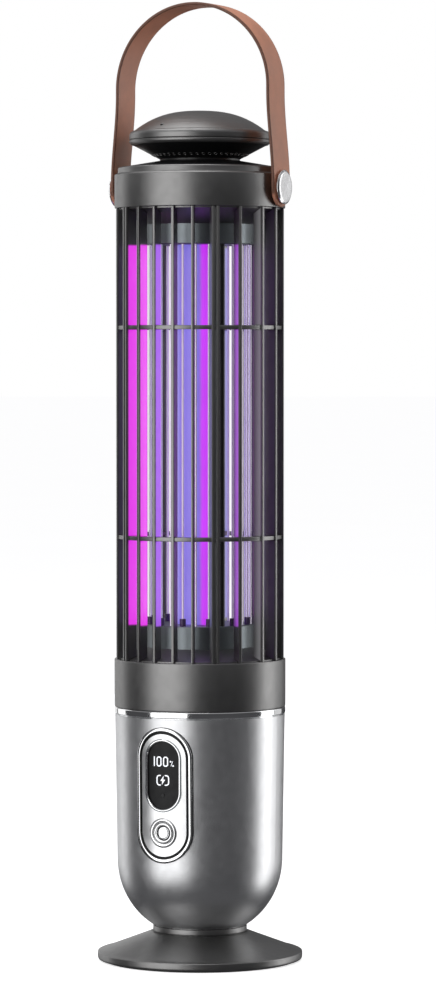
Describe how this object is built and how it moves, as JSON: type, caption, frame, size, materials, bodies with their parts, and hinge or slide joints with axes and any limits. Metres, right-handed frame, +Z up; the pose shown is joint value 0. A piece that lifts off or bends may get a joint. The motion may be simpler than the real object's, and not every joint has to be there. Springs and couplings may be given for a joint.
{
  "type": "electric bug zapper",
  "caption": "Upright portable bug zapper: lit high-voltage grid in a finned cage, silver body with display panel, round foot, domed cap and swinging strap handle.",
  "frame": {"origin": "centre of the underside of the foot, on the surface the zapper stands on", "axes": "+Z up along the body, -Y towards the front where the control panel is, the handle pivots on the X axis"},
  "size_m": [0.1, 0.1, 0.4659],
  "materials": {
    "dark_metal": "satin dark anodised",
    "cage_metal": "satin dark anodised",
    "satin_silver": "fine satin",
    "panel_silver": "satin",
    "bright_trim": "polished",
    "button_silver": "polished",
    "brushed_snap": "brushed",
    "steel_hardware": "plain",
    "rod_steel": "polished",
    "contact_brass": "plain",
    "holder_plastic": "moulded",
    "black_plastic": "moulded",
    "cradle_plastic": "moulded",
    "insulator": "glazed",
    "potted_module": "potting resin",
    "sensor_black": "gloss",
    "nylon_washer": "nylon",
    "lamp_board_white": "solder mask",
    "lamp_light": "light chip",
    "lamp_diffuser": "frosted, lit violet",
    "circuit_board": "solder mask",
    "cell_wrap": "shrink wrap",
    "display_black": "tinted window",
    "display_white": "lit figures",
    "black_rubber": "matte",
    "soft_cover": "matte silicone",
    "tan_leather": "smooth leather, dark edges"
  },
  "bodies": {
    "zapper": {"base_foot": "dark_metal", "foot_pad": "black_rubber", "foot_screws": "steel_hardware", "neck_ring": "dark_metal", "body_shell": "satin_silver", "trim_ring": "bright_trim", "lower_collar": "dark_metal", "lower_deck": "dark_metal", "rod_holder_lower": "holder_plastic", "cage_fins": "cage_metal", "cage_posts": "cage_metal", "cage_rings": "cage_metal", "post_screws": "steel_hardware", "rod_holder_upper": "holder_plastic", "upper_deck": "dark_metal", "upper_collar": "dark_metal", "top_plate": "black_plastic", "cap_cone": "black_plastic", "cap_rim": "dark_metal", "cap_dome": "dark_metal", "cap_screws": "steel_hardware", "light_sensor": "sensor_black", "sensor_board": "circuit_board", "lamp_tube": "lamp_diffuser", "lamp_board": "lamp_board_white", "lamp_chips": "lamp_light", "live_rods": "rod_steel", "return_rods": "rod_steel", "rod_insulators": "insulator", "live_ring": "contact_brass", "return_ring": "contact_brass", "wire_conduit": "black_plastic", "strap_pins": "steel_hardware", "strap_snaps": "brushed_snap", "strap_washers": "nylon_washer", "strap_nuts": "steel_hardware", "panel_bezel": "bright_trim", "panel_gasket": "black_rubber", "panel_plate": "panel_silver", "display_window": "display_black", "display_segments": "display_white", "display_module": "lamp_board_white", "button_ring": "bright_trim", "tact_switch": "steel_hardware", "control_board": "circuit_board", "board_screws": "steel_hardware", "battery_cells": "cell_wrap", "battery_cradle": "cradle_plastic", "hv_module": "potted_module", "charge_board": "circuit_board", "usb_socket": "steel_hardware", "usb_hinge_pin": "steel_hardware"},
    "handle": {"handle_strap": "tan_leather", "strap_eyelets": "steel_hardware"},
    "power_button": {"power_button": "button_silver", "switch_plunger": "black_plastic"},
    "usb_cover": {"usb_cover": "soft_cover"}
  },
  "joints": [
    {"name": "handle_swing", "type": "hinge", "parent": "zapper", "child": "handle", "pos_m": [0, 0, 0.376], "axis": [1, 0, 0], "range_deg": [-130, 130]},
    {"name": "power_button_press", "type": "slide", "parent": "zapper", "child": "power_button", "axis": [0, 1, 0], "range_m": [0, 0.0006], "stiffness_N_per_m": 800},
    {"name": "usb_cover_flap", "type": "hinge", "parent": "zapper", "child": "usb_cover", "pos_m": [0, 0.0419, 0.066], "axis": [1, 0, 0], "range_deg": [0, 100]}
  ]
}
